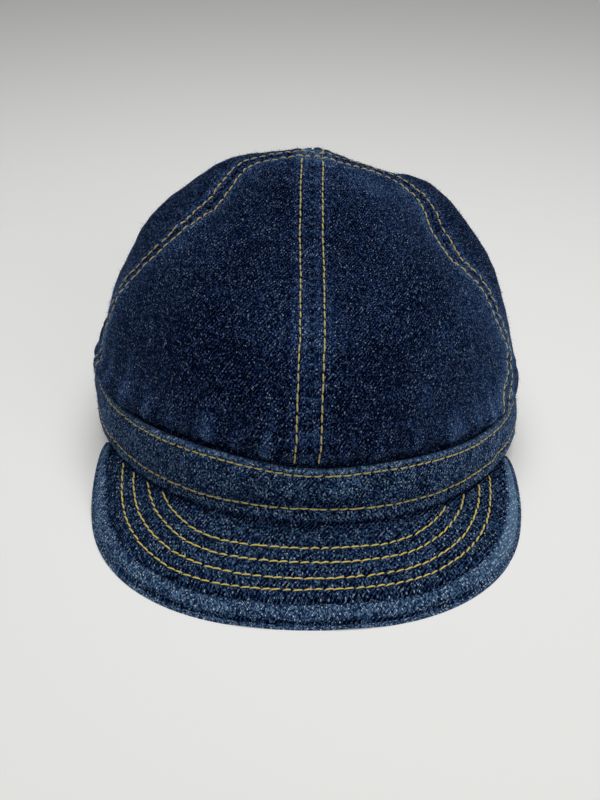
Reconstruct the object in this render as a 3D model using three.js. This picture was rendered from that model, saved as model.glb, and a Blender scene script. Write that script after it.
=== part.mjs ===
// Soft denim work cap: a folded band, a crown of four panels and a short rounded visor.
// Millimetres. +Z is up, -Y is the front of the cap and +X is the wearer's left.
// The origin is the middle of the underside of the whole cap.
import * as THREE from 'three';
import { mergeVertices } from 'three/addons/utils/BufferGeometryUtils.js';

// Cloth and clearances.
const crownWall = 1.3;
const bandWall = 2.4;
const bandBulge = 0.4;
const seamGap = 0.5;
const partGap = 0.3;
const tuckGap = 0.55;

// The outer face of band and crown, one row for each height up the cap. side, front and back
// are reaches from the middle of that ring, setback and lean move its middle to the back and
// to the left.
const rings = [
  { level: 0.00, side: 91.5, front: 105, back: 96, setback: 0, lean: 0.2 },
  { level: 0.10, side: 89.8, front: 103, back: 98, setback: 0, lean: -0.5 },
  { level: 0.17, side: 87.0, front: 101, back: 100, setback: -1, lean: 0.3 },
  { level: 0.30, side: 83.3, front: 91, back: 97, setback: -1, lean: 0.2 },
  { level: 0.45, side: 73.0, front: 75, back: 86, setback: 4, lean: 1.5 },
  { level: 0.65, side: 50.5, front: 50, back: 64, setback: 14, lean: 2.8 },
  { level: 0.85, side: 26.5, front: 24, back: 32, setback: 20, lean: 1.0 },
  { level: 1.00, side: 0.0, front: 0, back: 0, setback: 18, lean: 0.7 },
];

// How high the outer face stands there, at the front, at the sides and at the back.
const heights = [
  { level: 0.00, zFront: 18, zSide: 9.8, zBack: -3 },
  { level: 0.10, zFront: 42.6, zSide: 31.6, zBack: 24.5 },
  { level: 0.17, zFront: 54, zSide: 41.6, zBack: 36 },
  { level: 0.30, zFront: 73, zSide: 57.5, zBack: 55 },
  { level: 0.45, zFront: 86, zSide: 78, zBack: 75.7 },
  { level: 0.65, zFront: 98.5, zSide: 97.5, zBack: 89.3 },
  { level: 0.85, zFront: 110, zSide: 108, zBack: 103.6 },
  { level: 1.00, zFront: 115, zSide: 115, zBack: 115 },
];

// The soft cap sags to the wearer's left: drop at the ring's side, in the band and in the crown.
const bandSag = 2.6;
const crownSag = 4.8;
const sagReach = 91;

// The levels where the band ends and where the crown's hem ends inside it, and the level where
// the crown has swelled out again to the outer face.
const bandTop = 0.10;
const hemLevel = 0.07;
const swellLevel = 0.135;

// Where the band's edges are pulled off their even curve: degrees from the front, level, how far
// each pull spreads, and how deep it pulls, where a lift pulls by less than nothing.
const bandPulls = [
  { name: 'front seam dip', angle: 0, level: 0.10, wide: 16, tall: 0.05, deep: 2.5 },
  { name: 'left lift beside the visor', angle: 55, level: 0, wide: 24, tall: 0.06, deep: -2.3 },
  { name: 'right lift beside the visor', angle: -56, level: 0, wide: 24, tall: 0.06, deep: -1.4 },
];

// Dents and puffs of the worn crown: angle from the front, level, how far each spreads, and
// how deep it sinks, where a puff sinks by less than nothing.
const dents = [
  { name: 'right seam dent', angle: -68, level: 0.70, wide: 13, tall: 0.08, deep: 4.5 },
  { name: 'left seam dent', angle: 68, level: 0.63, wide: 12, tall: 0.08, deep: 3.6 },
  { name: 'right rear puff', angle: -112, level: 0.66, wide: 24, tall: 0.16, deep: -2.2 },
  { name: 'left rear puff', angle: 112, level: 0.58, wide: 24, tall: 0.16, deep: -2.2 },
  { name: 'right front hollow', angle: -34, level: 0.15, wide: 13, tall: 0.03, deep: 1.2 },
  { name: 'left front hollow', angle: 36, level: 0.15, wide: 13, tall: 0.03, deep: 1.4 },
  { name: 'left top hollow', angle: 130, level: 0.78, wide: 20, tall: 0.12, deep: 3.6 },
  { name: 'back fold', angle: 160, level: 0.27, wide: 26, tall: 0.05, deep: 2.2 },
  { name: 'back roll', angle: -165, level: 0.42, wide: 30, tall: 0.06, deep: -1.6 },
];

// Where the seams run up the crown: degrees from the front at each level. The cross seam goes
// from ear to ear over the top and is pulled forward beside each seam dent.
const seamTurns = [
  { level: 0.00, front: 0, left: 60, right: 72 },
  { level: 0.15, front: 0, left: 62.5, right: 73.5 },
  { level: 0.20, front: 0, left: 68.5, right: 73.8 },
  { level: 0.30, front: 0.3, left: 72.5, right: 72.5 },
  { level: 0.36, front: 0.2, left: 71.3, right: 72.5 },
  { level: 0.46, front: -0.5, left: 69, right: 69 },
  { level: 0.53, front: -1.1, left: 65.3, right: 66.3 },
  { level: 0.60, front: -1.9, left: 72.5, right: 66 },
  { level: 0.68, front: -2.8, left: 80, right: 70.3 },
  { level: 0.74, front: -2.4, left: 87, right: 73 },
  { level: 0.79, front: -1.8, left: 95, right: 76.5 },
  { level: 0.85, front: -1.3, left: 99, right: 90.5 },
  { level: 0.90, front: -1.2, left: 99, right: 96 },
  { level: 1.00, front: 0, left: 95, right: 95 },
];

// The band's closed section: how far up the band, and how deep behind the outer face.
const bandSection = [
  { up: 0.00, deep: 0.4 },
  { up: 0.10, deep: 0.0 },
  { up: 0.50, deep: -bandBulge },
  { up: 0.92, deep: 0.0 },
  { up: 1.00, deep: 0.7 },
  { up: 1.00, deep: bandWall - 0.6 },
  { up: 0.94, deep: bandWall },
  { up: 0.06, deep: bandWall },
  { up: 0.00, deep: bandWall - 0.4 },
];

// The visor, seen from above, fills a rounded outline about a pivot behind the band's front.
const visorPivot = -38;
const visorHalfWidth = 85.3;
const visorWidest = -58;
const visorAhead = 84.6;
const visorBehind = 56;
const visorRoundness = 2.36;
const visorTuck = 1.7;
const visorDrop = 0.6;
const visorArch = 1.6;
const visorPadding = 1.9;
const visorHem = 1.25;
const visorLip = 1.0;
const visorRim = 0.5;
const visorBorder = { from: 8, to: 10.2 };
const visorEnd = 86;
const visorLift = { from: 60, to: 85 };

// How finely each piece is faceted.
const panelColumns = 18;
const panelLevels = 14;
const bandSteps = 72;
const visorColumns = 40;
const visorRows = [0, 0.03, 0.12, 0.2, 0.26, 0.6, 1];

const indigo = { crown: 0x24324e, band: 0x27385a, visor: 0x2b4268, under: 0x1f2c47 };

const degrees = THREE.MathUtils.degToRad;
const mix = THREE.MathUtils.lerp;
const ease = (from, to, x) => THREE.MathUtils.smoothstep(x, from, to);

// Smooth curve through one column of a table, with no overshoot between its rows. Heights
// level out at the last row, so that the top of the crown is round.
function follow(table, column, level) {
  const last = table.length - 1;
  const span = (i) => table[i + 1].level - table[i].level;
  const rise = (i) => (table[i + 1][column] - table[i][column]) / span(i);
  const slope = (i) => {
    if (i === 0) return rise(0);
    if (i === last) return column.startsWith('z') ? 0 : rise(last - 1);
    const [before, after] = [rise(i - 1), rise(i)];
    return before * after > 0 ? (2 * before * after) / (before + after) : 0;
  };
  const i = Math.min(last - 1, table.findLastIndex((row) => row.level <= level));
  const t = (level - table[i].level) / span(i);
  const flat = t * t * (3 - 2 * t);
  const leave = t * (1 - t) * (1 - t) * span(i) * slope(i);
  const arrive = t * t * (t - 1) * span(i) * slope(i + 1);
  return mix(table[i][column], table[i + 1][column], flat) + leave + arrive;
}

// The depth at a point from every row of a table of dents or pulls.
function depthFrom(table, angle, level) {
  return table.reduce((sum, row) => {
    const away = angle - degrees(row.angle);
    const across = Math.atan2(Math.sin(away), Math.cos(away)) / degrees(row.wide);
    const up = (level - row.level) / row.tall;
    return sum + row.deep * Math.exp(-across * across - up * up);
  }, 0);
}

// A point of the smooth outer face at an angle from the front, towards the wearer's left.
function smoothFace(angle, level) {
  const ring = (column) => follow(rings, column, level);
  const height = (column) => follow(heights, column, level);
  const [sine, cosine] = [Math.sin(angle), Math.cos(angle)];
  const reach = cosine > 0 ? ring('front') : ring('back');
  const zEnd = cosine > 0 ? height('zFront') : height('zBack');
  const x = ring('side') * sine;
  const sag = mix(bandSag, crownSag, Math.min(1, level / bandTop));
  const even = mix(height('zSide'), zEnd, cosine * cosine) - (sag * x) / sagReach;
  const z = even - depthFrom(bandPulls, angle, level);
  return new THREE.Vector3(x + ring('lean'), ring('setback') - reach * cosine, z);
}

// The outward direction there, from two short steps along the face.
function outward(angle, level) {
  const step = 0.004;
  const [low, high] = [Math.max(0, level - step), Math.min(0.995, level + step)];
  const middle = (low + high) / 2;
  const across = smoothFace(angle + step, middle).sub(smoothFace(angle - step, middle));
  const up = smoothFace(angle, high).sub(smoothFace(angle, low));
  return across.cross(up).normalize();
}

// A point of the wall, so deep behind the outer face.
function wallPoint(angle, level, deep) {
  return smoothFace(angle, level).addScaledVector(outward(angle, level), -deep);
}

// One closed wall from a grid of points on its two faces: place(column, row, face) with face 0
// outside and 1 inside. Columns and rows that meet in a point are welded there.
function closedWall(columns, rows, place) {
  const positions = [];
  const triangles = [];
  for (const face of [0, 1]) {
    for (let row = 0; row <= rows; row += 1) {
      for (let column = 0; column <= columns; column += 1) positions.push(...place(column, row, face));
    }
  }
  const corner = (column, row, face) => (face * (rows + 1) + row) * (columns + 1) + column;
  const quad = (a, b, c, d) => triangles.push(a, b, c, a, c, d);
  const rim = (from, to) => quad(corner(...from, 1), corner(...from, 0), corner(...to, 0), corner(...to, 1));
  for (let row = 0; row < rows; row += 1) {
    const above = row + 1;
    for (let column = 0; column < columns; column += 1) {
      const right = column + 1;
      quad(corner(column, row, 0), corner(right, row, 0), corner(right, above, 0), corner(column, above, 0));
      quad(corner(column, row, 1), corner(column, above, 1), corner(right, above, 1), corner(right, row, 1));
    }
    rim([0, row], [0, above]);
    rim([columns, above], [columns, row]);
  }
  for (let column = 0; column < columns; column += 1) {
    rim([column + 1, 0], [column, 0]);
    rim([column, rows], [column + 1, rows]);
  }
  return weld(positions, triangles);
}

// A ring swept through a closed section: place(step, corner) gives each point.
function closedRing(steps, corners, place) {
  const positions = [];
  const triangles = [];
  for (let step = 0; step < steps; step += 1) {
    for (let corner = 0; corner < corners; corner += 1) {
      positions.push(...place(step, corner));
      const [next, above] = [((step + 1) % steps) * corners, (corner + 1) % corners];
      const here = step * corners;
      triangles.push(here + corner, next + corner, next + above);
      triangles.push(here + corner, next + above, here + above);
    }
  }
  return weld(positions, triangles);
}

// Shared corners are merged, and the flattened triangles that this leaves are dropped.
function weld(positions, triangles) {
  const loose = new THREE.BufferGeometry();
  loose.setAttribute('position', new THREE.Float32BufferAttribute(positions, 3));
  loose.setIndex(triangles);
  const solid = mergeVertices(loose, 1e-4);
  const index = Array.from(solid.index.array);
  const kept = [];
  for (let i = 0; i < index.length; i += 3) {
    const [a, b, c] = index.slice(i, i + 3);
    if (a !== b && b !== c && c !== a) kept.push(a, b, c);
  }
  solid.setIndex(kept);
  solid.computeVertexNormals();
  return solid;
}

// The cloth that rests is pressed flat on the ground.
function pressed(point) {
  point.z = Math.max(0, point.z);
  return point;
}

// The crown steps in to pass inside the band, and swells out above it.
function crownInset(level) {
  return (bandWall + tuckGap) * (1 - ease(bandTop, swellLevel, level));
}

const hemLevels = [hemLevel, bandTop, 0.115, swellLevel, 0.165];
const crownLevels = [
  ...hemLevels,
  ...Array.from({ length: panelLevels }, (_, i) => mix(hemLevels.at(-1), 1, (i + 1) / panelLevels)),
];

// One crown panel between two seams. from and to give each seam's angle at a level.
function crownPanel(from, to) {
  return closedWall(panelColumns, crownLevels.length - 1, (column, row, face) => {
    const level = crownLevels[row];
    const [start, end] = [from(level), to(level)];
    const middle = (start + end) / 2;
    const wall = face * crownWall;
    if (level === 1) {
      const nudge = new THREE.Vector3(Math.sin(middle), -Math.cos(middle), -wall / seamGap);
      return smoothFace(middle, 1).addScaledVector(nudge, seamGap);
    }
    const ringReach = follow(rings, 'side', level);
    const inset = seamGap / 2 / ringReach;
    const angle = mix(start + inset, end - inset, column / panelColumns);
    const deep = crownInset(level) + depthFrom(dents, angle, level) + wall;
    return wallPoint(angle, level, deep);
  });
}

function band() {
  return closedRing(bandSteps, bandSection.length, (step, corner) => {
    const { up, deep } = bandSection[corner];
    return pressed(wallPoint((2 * Math.PI * step) / bandSteps, up * bandTop, deep));
  });
}

// The visor's outline, as a reach from the pivot in a direction from the front.
function outlineReach(turn) {
  const inside = (reach) => {
    const across = Math.abs(reach * Math.sin(turn)) / visorHalfWidth;
    const ahead = visorWidest - visorPivot + reach * Math.cos(turn);
    const along = Math.abs(ahead) / (ahead > 0 ? visorAhead : visorBehind);
    return across ** visorRoundness + along ** visorRoundness < 1;
  };
  let [near, far] = [0, visorHalfWidth * 2];
  for (let halving = 0; halving < 40; halving += 1) {
    const middle = (near + far) / 2;
    if (inside(middle)) near = middle;
    else far = middle;
  }
  return near;
}

// The reach from the pivot to the outer face of the band's lower edge.
function ringReachAt(turn) {
  const { side, front } = rings[0];
  const [sx, sy] = [Math.sin(turn) / side, Math.cos(turn) / front];
  const push = visorPivot / front;
  const a = sx * sx + sy * sy;
  const b = -push * sy;
  return (Math.sqrt(b * b - a * (push * push - 1)) - b) / a;
}

function bandEdgeHeight(x, y) {
  const { zFront, zSide } = heights[0];
  const { side, front } = rings[0];
  const even = mix(zSide, zFront, (y / front) ** 2) - (bandSag * x) / sagReach;
  return even - depthFrom(bandPulls, Math.atan2(x / side, -y / front), 0);
}

// Half of the visor's thickness, so far in from its outer edge: a thin hem, then the padding.
function visorHalf(fromEdge) {
  const hem = mix(visorLip, visorHem, Math.sqrt(Math.min(1, fromEdge / 2)));
  return mix(hem, visorPadding, ease(visorBorder.from, visorBorder.to, fromEdge));
}

// A point of the visor, a signed distance above its middle sheet. turn is the direction from
// the pivot, and fraction runs from the outer edge to the edge tucked under the band.
function visorPoint(turn, fraction, above) {
  const outer = outlineReach(turn);
  const inner = ringReachAt(turn) - visorTuck;
  const at = (reach) => [reach * Math.sin(turn), visorPivot - reach * Math.cos(turn)];
  const root = bandEdgeHeight(...at(inner)) - visorDrop - visorPadding;
  const lifted = ease(degrees(visorLift.from), degrees(visorLift.to), Math.abs(turn));
  const rim = mix(visorRim, root, lifted);
  const arch = 4 * visorArch * (1 - lifted) * fraction * (1 - fraction);
  const sheet = mix(rim, root, fraction) + arch;
  return new THREE.Vector3(...at(mix(outer, inner, fraction)), sheet + above);
}

// One of the visor's two cloths: side is 1 for the upper and -1 for the lower.
function visorCloth(side) {
  return closedWall(visorColumns, visorRows.length - 1, (column, row, face) => {
    const turn = degrees(mix(-visorEnd, visorEnd, column / visorColumns));
    const fraction = visorRows[row];
    const fromEdge = fraction * (outlineReach(turn) - ringReachAt(turn) + visorTuck);
    const outerFace = face === (side === 1 ? 0 : 1);
    const above = outerFace ? visorHalf(fromEdge) : partGap / 2;
    return pressed(visorPoint(turn, fraction, side * above));
  });
}

function clothPiece(name, geometry, color, roughness) {
  const material = new THREE.MeshStandardMaterial({ color, roughness, metalness: 0 });
  const piece = new THREE.Mesh(geometry, material);
  piece.name = name;
  return piece;
}

const leftSeam = (level) => degrees(follow(seamTurns, 'left', level));
const rightSeam = (level) => -degrees(follow(seamTurns, 'right', level));
const frontSeam = (level) => degrees(follow(seamTurns, 'front', level));
const backSeam = () => Math.PI;
const backSeamRound = () => -Math.PI;

const cap = new THREE.Group();
cap.add(
  clothPiece('crown_front_left', crownPanel(frontSeam, leftSeam), indigo.crown, 0.92),
  clothPiece('crown_front_right', crownPanel(rightSeam, frontSeam), indigo.crown, 0.92),
  clothPiece('crown_back_left', crownPanel(leftSeam, backSeam), indigo.crown, 0.92),
  clothPiece('crown_back_right', crownPanel(backSeamRound, rightSeam), indigo.crown, 0.92),
  clothPiece('band', band(), indigo.band, 0.9),
  clothPiece('visor_top', visorCloth(1), indigo.visor, 0.9),
  clothPiece('visor_under', visorCloth(-1), indigo.under, 0.92),
);

// Stand the origin in the middle of the underside.
const box = new THREE.Box3().setFromObject(cap);
const middle = box.getCenter(new THREE.Vector3());
const centred = new THREE.Group();
cap.position.set(-middle.x, -middle.y, -box.min.z);
centred.add(cap);

export default centred;
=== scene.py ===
import math

import bmesh
import bpy
import numpy as np
from mathutils import Matrix, Vector
from mathutils.bvhtree import BVHTree


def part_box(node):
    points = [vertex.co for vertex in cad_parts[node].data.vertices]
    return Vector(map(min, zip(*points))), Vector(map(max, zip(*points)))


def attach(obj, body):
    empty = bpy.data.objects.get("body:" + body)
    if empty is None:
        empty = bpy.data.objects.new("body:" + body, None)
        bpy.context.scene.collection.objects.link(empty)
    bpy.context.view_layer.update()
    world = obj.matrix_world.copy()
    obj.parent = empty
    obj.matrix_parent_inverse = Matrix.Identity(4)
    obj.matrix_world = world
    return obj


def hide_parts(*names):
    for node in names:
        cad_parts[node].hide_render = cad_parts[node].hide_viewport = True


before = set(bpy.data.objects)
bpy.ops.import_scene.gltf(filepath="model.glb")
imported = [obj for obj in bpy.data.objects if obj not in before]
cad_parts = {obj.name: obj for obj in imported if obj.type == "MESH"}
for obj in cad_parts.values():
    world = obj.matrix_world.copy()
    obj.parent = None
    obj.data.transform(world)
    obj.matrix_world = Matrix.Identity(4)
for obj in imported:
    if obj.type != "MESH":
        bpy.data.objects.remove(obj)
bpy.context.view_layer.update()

# Soft denim work cap, resting on a pale table. Shapes are worked out in millimetres about the
# middle of the head ring, with -y to the front and +x to the wearer's left, and set down in
# the frame at the end.
mm = 0.001

# The outer face of band and crown, one row for each height up the cap.
rings = [
    dict(level=0.00, side=91.5, front=105, back=96, setback=0, lean=0.2),
    dict(level=0.10, side=89.8, front=103, back=98, setback=0, lean=-0.5),
    dict(level=0.17, side=87.0, front=101, back=100, setback=-1, lean=0.3),
    dict(level=0.30, side=83.3, front=91, back=97, setback=-1, lean=0.2),
    dict(level=0.45, side=73.0, front=75, back=86, setback=4, lean=1.5),
    dict(level=0.65, side=50.5, front=50, back=64, setback=14, lean=2.8),
    dict(level=0.85, side=26.5, front=24, back=32, setback=20, lean=1.0),
    dict(level=1.00, side=0.0, front=0, back=0, setback=18, lean=0.7),
]
heights = [
    dict(level=0.00, zFront=18, zSide=9.8, zBack=-3),
    dict(level=0.10, zFront=42.6, zSide=31.6, zBack=24.5),
    dict(level=0.17, zFront=54, zSide=41.6, zBack=36),
    dict(level=0.30, zFront=73, zSide=57.5, zBack=55),
    dict(level=0.45, zFront=86, zSide=78, zBack=75.7),
    dict(level=0.65, zFront=98.5, zSide=97.5, zBack=89.3),
    dict(level=0.85, zFront=110, zSide=108, zBack=103.6),
    dict(level=1.00, zFront=115, zSide=115, zBack=115),
]
bandTop = 0.10  # level where the band ends
sag = dict(band=2.6, crown=4.8, reach=91)  # the soft cap leans to the wearer's left
cloth = dict(crownWall=1.3, bandWall=2.4, tuckGap=0.55, seamLap=0.08)

# Where the band's edges are pulled off their even curve, down at the front seam and up beside
# the visor. The columns are those of the dents below.
bandPulls = [
    dict(angle=0, level=0.10, wide=16, tall=0.05, deep=2.5),
    dict(angle=55, level=0, wide=24, tall=0.06, deep=-2.3),
    dict(angle=-56, level=0, wide=24, tall=0.06, deep=-1.4),
]

# Dents and puffs of the worn crown: angle from the front, level, spread, and depth in mm.
dents = [
    dict(angle=-68, level=0.70, wide=13, tall=0.08, deep=4.5),
    dict(angle=68, level=0.63, wide=12, tall=0.08, deep=3.6),
    dict(angle=-112, level=0.66, wide=24, tall=0.16, deep=-2.2),
    dict(angle=112, level=0.58, wide=24, tall=0.16, deep=-2.2),
    dict(angle=-34, level=0.15, wide=13, tall=0.03, deep=1.2),
    dict(angle=36, level=0.15, wide=13, tall=0.03, deep=1.4),
    dict(angle=130, level=0.78, wide=20, tall=0.12, deep=3.6),
    dict(angle=160, level=0.27, wide=26, tall=0.05, deep=2.2),
    dict(angle=-165, level=0.42, wide=30, tall=0.06, deep=-1.6),
]

# Where the seams run up the crown, in degrees from the front. The cross seam goes from ear to
# ear over the top, and its two sides are pulled forward beside the dents.
seamTurns = [
    dict(level=0.00, front=0, left=60, right=72),
    dict(level=0.15, front=0, left=62.5, right=73.5),
    dict(level=0.20, front=0, left=68.5, right=73.8),
    dict(level=0.30, front=0.3, left=72.5, right=72.5),
    dict(level=0.36, front=0.2, left=71.3, right=72.5),
    dict(level=0.46, front=-0.5, left=69, right=69),
    dict(level=0.53, front=-1.1, left=65.3, right=66.3),
    dict(level=0.60, front=-1.9, left=72.5, right=66),
    dict(level=0.68, front=-2.8, left=80, right=70.3),
    dict(level=0.74, front=-2.4, left=87, right=73),
    dict(level=0.79, front=-1.8, left=95, right=76.5),
    dict(level=0.85, front=-1.3, left=99, right=90.5),
    dict(level=0.90, front=-1.2, left=99, right=96),
    dict(level=1.00, front=0, left=95, right=95),
]


def ease(low, high, x):
    t = np.clip((x - low) / (high - low), 0, 1)
    return t * t * (3 - 2 * t)


def bump(x, width):
    return np.exp(-((x / width) ** 2))


def wave(along, length, shift=0.0):
    return np.sin(2 * np.pi * along / length + shift)


def follow(table, column, level):  # smooth curve through one column, with no overshoot between rows
    keys = np.array([row["level"] for row in table], float)
    values = np.array([row[column] for row in table], float)
    rise = np.diff(values) / np.diff(keys)
    slope = np.zeros(len(values))
    before, after = rise[:-1], rise[1:]
    same = before * after > 0
    slope[1:-1][same] = 2 * before[same] * after[same] / (before[same] + after[same])
    slope[0] = rise[0]
    slope[-1] = 0 if column.startswith("z") else rise[-1]
    i = np.clip(np.searchsorted(keys, level, side="right") - 1, 0, len(keys) - 2)
    span = keys[i + 1] - keys[i]
    t = (level - keys[i]) / span
    ends = t * (1 - t) ** 2 * span * slope[i] + t * t * (t - 1) * span * slope[i + 1]
    return values[i] + (values[i + 1] - values[i]) * t * t * (3 - 2 * t) + ends


def depthFrom(table, angle, level):  # how deep all the dents or pulls of a table go at a point
    total = np.zeros(np.broadcast(angle, level).shape)
    for row in table:
        away = angle - math.radians(row["angle"])
        turn = np.arctan2(np.sin(away), np.cos(away)) / math.radians(row["wide"])
        total += row["deep"] * np.exp(-turn**2 - ((level - row["level"]) / row["tall"]) ** 2)
    return total


def smoothFace(angle, level):
    at = {column: follow(rings, column, level) for column in rings[0] if column != "level"}
    at |= {column: follow(heights, column, level) for column in heights[0] if column != "level"}
    sine, cosine = np.sin(angle), np.cos(angle)
    reach = np.where(cosine > 0, at["front"], at["back"])
    zEnd = np.where(cosine > 0, at["zFront"], at["zBack"])
    x = at["side"] * sine
    drop = sag["band"] + (sag["crown"] - sag["band"]) * np.minimum(1, level / bandTop)
    z = at["zSide"] + (zEnd - at["zSide"]) * cosine * cosine - drop * x / sag["reach"]
    z = z - depthFrom(bandPulls, angle, level)
    return np.stack([x + at["lean"], at["setback"] - reach * cosine, z], -1)


def outward(angle, level, step=0.004):
    low = np.clip(level - step, 0, 0.985)
    high = low + 2 * step
    middle = (low + high) / 2
    across = smoothFace(angle + step, middle) - smoothFace(angle - step, middle)
    up = smoothFace(angle, high) - smoothFace(angle, low)
    normal = np.cross(across, up)
    return normal / np.linalg.norm(normal, axis=-1, keepdims=True)


def cloudNoise(points, size, seed, waves=18):  # soft random hills about so many mm across
    rng = np.random.default_rng(seed)
    heading = rng.normal(size=(waves, points.shape[-1]))
    heading /= np.linalg.norm(heading, axis=1, keepdims=True)
    heading *= (2 * np.pi / size) * rng.uniform(0.65, 1.4, (waves, 1))
    phase = rng.uniform(0, 2 * np.pi, waves)
    return np.sin(points @ heading.T + phase).sum(-1) / math.sqrt(waves / 2)


def lengths(line):
    return np.concatenate([[0], np.cumsum(np.linalg.norm(np.diff(line, axis=0), axis=1))])


def nearLine(points, line):  # distance of each point from a line, and how far along it lies
    run = lengths(line)
    flat = points.reshape(-1, 3)
    distance, along = np.empty(len(flat)), np.empty(len(flat))
    for start in range(0, len(flat), 2500):
        part = flat[start:start + 2500]
        gap = (part**2).sum(1)[:, None] + (line**2).sum(1)[None] - 2 * part @ line.T
        nearest = gap.argmin(1)
        best = np.full(len(part), 1e9)
        place = np.zeros(len(part))
        for i in (np.clip(nearest - 1, 0, len(line) - 2), np.clip(nearest, 0, len(line) - 2)):
            edge = line[i + 1] - line[i]
            t = np.clip(((part - line[i]) * edge).sum(1) / (edge**2).sum(1), 0, 1)
            reach = np.linalg.norm(part - line[i] - edge * t[:, None], axis=1)
            closer = reach < best
            best = np.where(closer, reach, best)
            place = np.where(closer, run[i] + t * (run[i + 1] - run[i]), place)
        distance[start:start + 2500] = best
        along[start:start + 2500] = place
    return distance.reshape(points.shape[:-1]), along.reshape(points.shape[:-1])


# Crown seams. Each is pressed open: rows is how far its two rows of stitches lie either side.
wideSeam = dict(rows=4.4, allowance=8.0, raised=0.45, crease=0.9, groove=0.5, pucker=0.2)
narrowSeam = dict(rows=3.0, allowance=6.0, raised=0.55, crease=0.8, groove=0.5, pucker=0.28)
seams = {
    "front": dict(wideSeam, wave=6.3, seed=3),
    "cross": dict(narrowSeam, wave=7.0, seed=5),
    "back": dict(wideSeam, wave=6.6, seed=8),
}
crownInset = dict(hem=0.07, swell=0.135)  # levels where the crown's hem ends and where it has swelled out


def seamAngle(name, level):
    level = np.asarray(level, float)
    if name in ("back", "backRound"):
        return np.full(level.shape, math.pi if name == "back" else -math.pi)
    return np.radians(follow(seamTurns, name, level)) * (-1 if name == "right" else 1)


def crownFace(angle, level, deep=0.0):  # the crown without its fine relief
    inset = (cloth["bandWall"] + cloth["tuckGap"]) * (1 - ease(bandTop, crownInset["swell"], level))
    total = inset + depthFrom(dents, angle, level) + deep
    return smoothFace(angle, level) - outward(angle, level) * total[..., None]


def seamLine(name, count=260):
    level = np.linspace(crownInset["hem"], 0.999, count)
    return crownFace(seamAngle(name, level), level)


crossLine = np.concatenate([seamLine("right"), seamLine("left")[::-1]])
seamLines = {"front": seamLine("front"), "back": seamLine("back"), "cross": crossLine}

# Small gathers where the crown is eased into the band: the main ones seen, as degrees from the
# front, width and height in mm, and how far each ridge stands up.
gathers = [
    dict(angle=-63, wide=3.0, tall=22, high=0.9),
    dict(angle=-53, wide=3.5, tall=30, high=0.9),
    dict(angle=-44, wide=2.6, tall=12, high=1.0),
    dict(angle=-36, wide=2.0, tall=11, high=0.7),
    dict(angle=-25, wide=3.4, tall=16, high=1.3),
    dict(angle=-17.5, wide=2.0, tall=8, high=0.9),
    dict(angle=-10, wide=3.0, tall=18, high=1.1),
    dict(angle=-5.5, wide=1.8, tall=8, high=0.6),
    dict(angle=9, wide=2.6, tall=8, high=0.7),
    dict(angle=17, wide=3.6, tall=10, high=0.8),
    dict(angle=27, wide=3.4, tall=12, high=0.7),
    dict(angle=40, wide=5.0, tall=14, high=1.2),
    dict(angle=48, wide=2.4, tall=34, high=0.7),
    dict(angle=55, wide=2.8, tall=18, high=0.8),
]


def gatherRelief(angle, level):
    rise = np.maximum(0, level - bandTop) * 165  # mm above the band's top edge
    rng = np.random.default_rng(21)
    around = [dict(angle=a + rng.uniform(-2.5, 2.5), wide=rng.uniform(2, 4), tall=rng.uniform(8, 18),
                   high=rng.uniform(0.1, 0.5)) for a in range(66, 296, 6)]
    total = np.zeros(np.broadcast(angle, level).shape)
    for gather in gathers + around:
        away = angle - math.radians(gather["angle"]) + 0.0009 * rise * math.sin(7 * gather["angle"])
        side = np.arctan2(np.sin(away), np.cos(away)) * 96
        ridge = 1.6 * bump(side, gather["wide"]) - 0.6 * bump(side, 2.2 * gather["wide"])
        total += gather["high"] * ridge * np.exp(-((rise / gather["tall"]) ** 2)) * ease(0, 2.5, rise)
    return total


def seamRelief(distance, along, look):
    across = np.abs(distance)
    shift = 1.4 * cloudNoise(along[..., None], 24, look["seed"])
    ripple = wave(along, look["wave"], shift) + 0.5 * wave(along, 3.9, 2 * shift)
    reach = bump(across - 0.5 * look["rows"], 0.75 * look["rows"] + 1.6)
    height = look["raised"] * (1 - ease(look["allowance"] - 1.2, look["allowance"] + 1.0, across))
    height += look["pucker"] * ripple * reach
    height -= look["groove"] * bump(across - look["rows"], 0.75)
    return height - look["crease"] * bump(across, 0.55)


def hangOver(angle, level):  # how far the crown droops over the band's top edge at the temples
    aside = bump(np.degrees(angle) + 72, 18) + 0.6 * bump(np.degrees(angle) - 70, 15)
    return aside * bump((level - 0.122) / 0.024, 1)


def crownRelief(points, angle, level):  # soft relief of the whole cloth, and the seams' on its outer face
    soft = gatherRelief(angle, level)
    soft += 0.9 * bump((level - 0.142) / 0.022, 1)  # the soft edge that hangs over the band
    soft += 1.9 * hangOver(angle, level)
    soft += 0.55 * cloudNoise(points, 42, 11) + 0.14 * cloudNoise(points, 11, 12)
    fine = np.zeros_like(soft)
    for name, look in seams.items():
        distance, along = nearLine(points, seamLines[name])
        fine += seamRelief(distance, along, look)
    shown = ease(0.085, 0.115, level)
    return soft * shown, fine * shown


def gridFaces(rows, columns, start=0, flip=False):
    row, column = np.meshgrid(np.arange(rows), np.arange(columns), indexing="ij")
    a = start + row * (columns + 1) + column
    quads = np.stack([a, a + 1, a + columns + 2, a + columns + 1], -1).reshape(-1, 4)
    return quads[:, ::-1] if flip else quads


def wallFaces(rows, columns):  # faces of a closed wall made of an outer and an inner grid
    count = (rows + 1) * (columns + 1)
    row, column = np.arange(rows) * (columns + 1), np.arange(columns)
    top = rows * (columns + 1) + column
    right = row + columns
    return np.concatenate([
        gridFaces(rows, columns), gridFaces(rows, columns, count, flip=True),
        np.stack([row + count, row, row + columns + 1, row + columns + 1 + count], -1),
        np.stack([right, right + count, right + columns + 1 + count, right + columns + 1], -1),
        np.stack([column + count, column + 1 + count, column + 1, column], -1),
        np.stack([top, top + 1, top + 1 + count, top + count], -1),
    ])


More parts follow.
